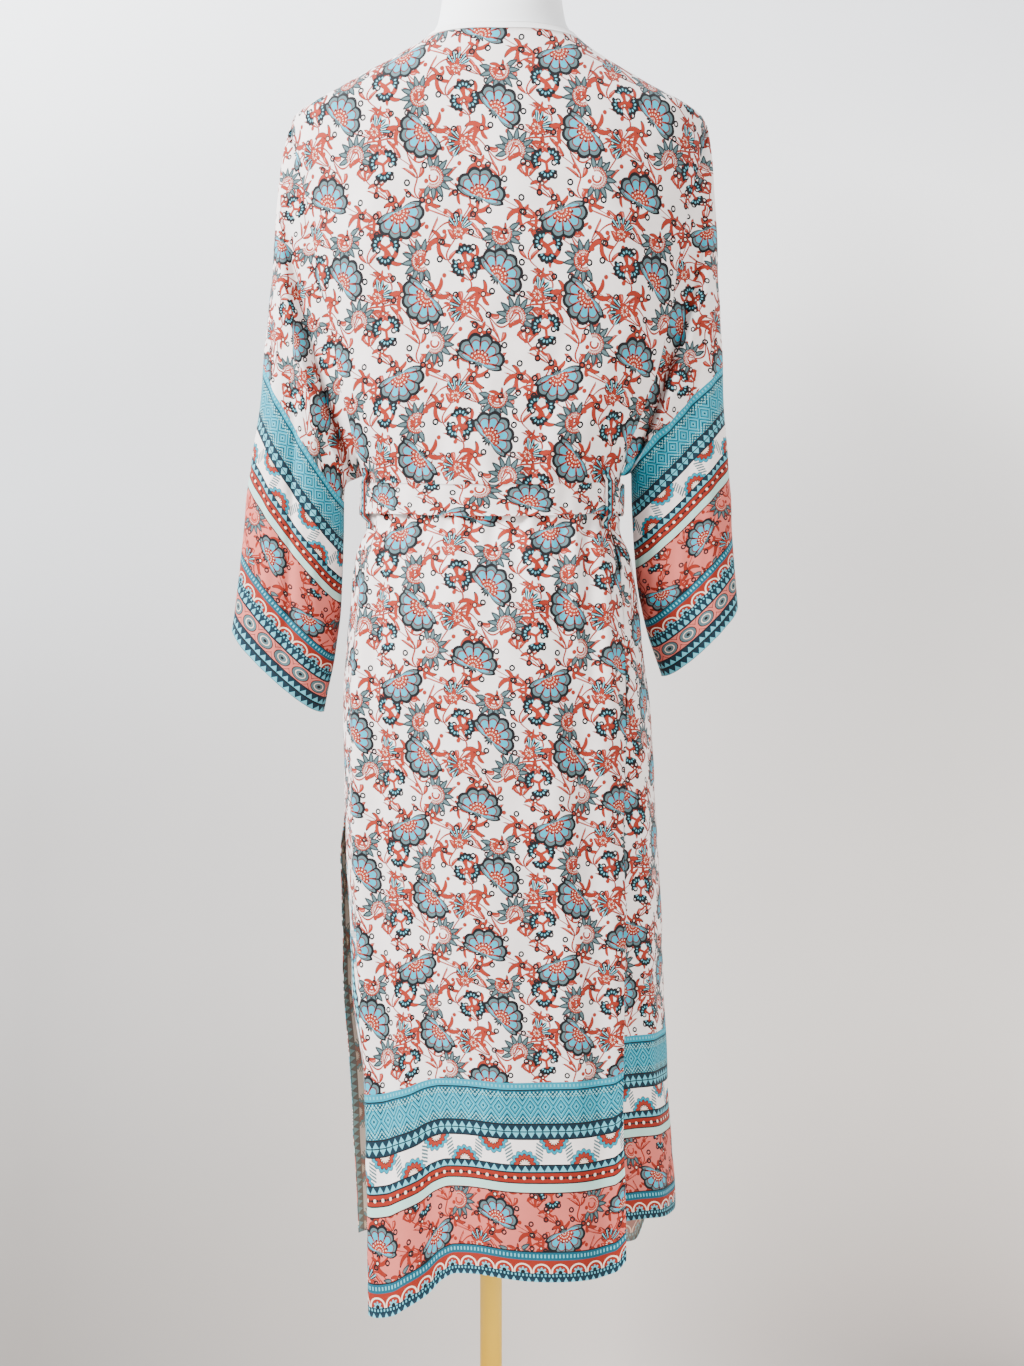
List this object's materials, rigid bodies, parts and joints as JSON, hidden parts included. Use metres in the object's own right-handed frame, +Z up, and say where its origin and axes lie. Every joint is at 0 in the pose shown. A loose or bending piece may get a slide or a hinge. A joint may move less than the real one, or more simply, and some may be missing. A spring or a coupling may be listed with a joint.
{
  "type": "long kimono on dress form",
  "caption": "Long kimono robe in floral-printed woven cloth with wide sleeves, side slits and a tied belt, on a limbless dress form with a pole and round foot.",
  "frame": {"origin": "centre of the foot's underside, on the floor and on the pole's axis", "axes": "+Z up along the pole, -Y out of the robe's back, -X towards the wearer's left"},
  "size_m": [0.5092, 0.31, 1.548],
  "materials": {
    "printed_cloth": "matte",
    "plain_cloth": "matte",
    "form_cover": "matte",
    "form_pole_paint": "satin"
  },
  "bodies": {
    "root": {"back_panel": "printed_cloth", "front_left": "printed_cloth", "front_right": "printed_cloth", "sleeve_left": "printed_cloth", "sleeve_right": "printed_cloth", "belt": "printed_cloth", "belt_knot": "printed_cloth", "belt_tail_left": "printed_cloth", "belt_tail_right": "printed_cloth", "belt_loop_left": "printed_cloth", "belt_loop_right": "printed_cloth", "neckband": "plain_cloth", "form_torso": "form_cover", "form_collar": "form_pole_paint", "form_pole": "form_pole_paint", "form_foot": "form_pole_paint"}
  },
  "joints": []
}
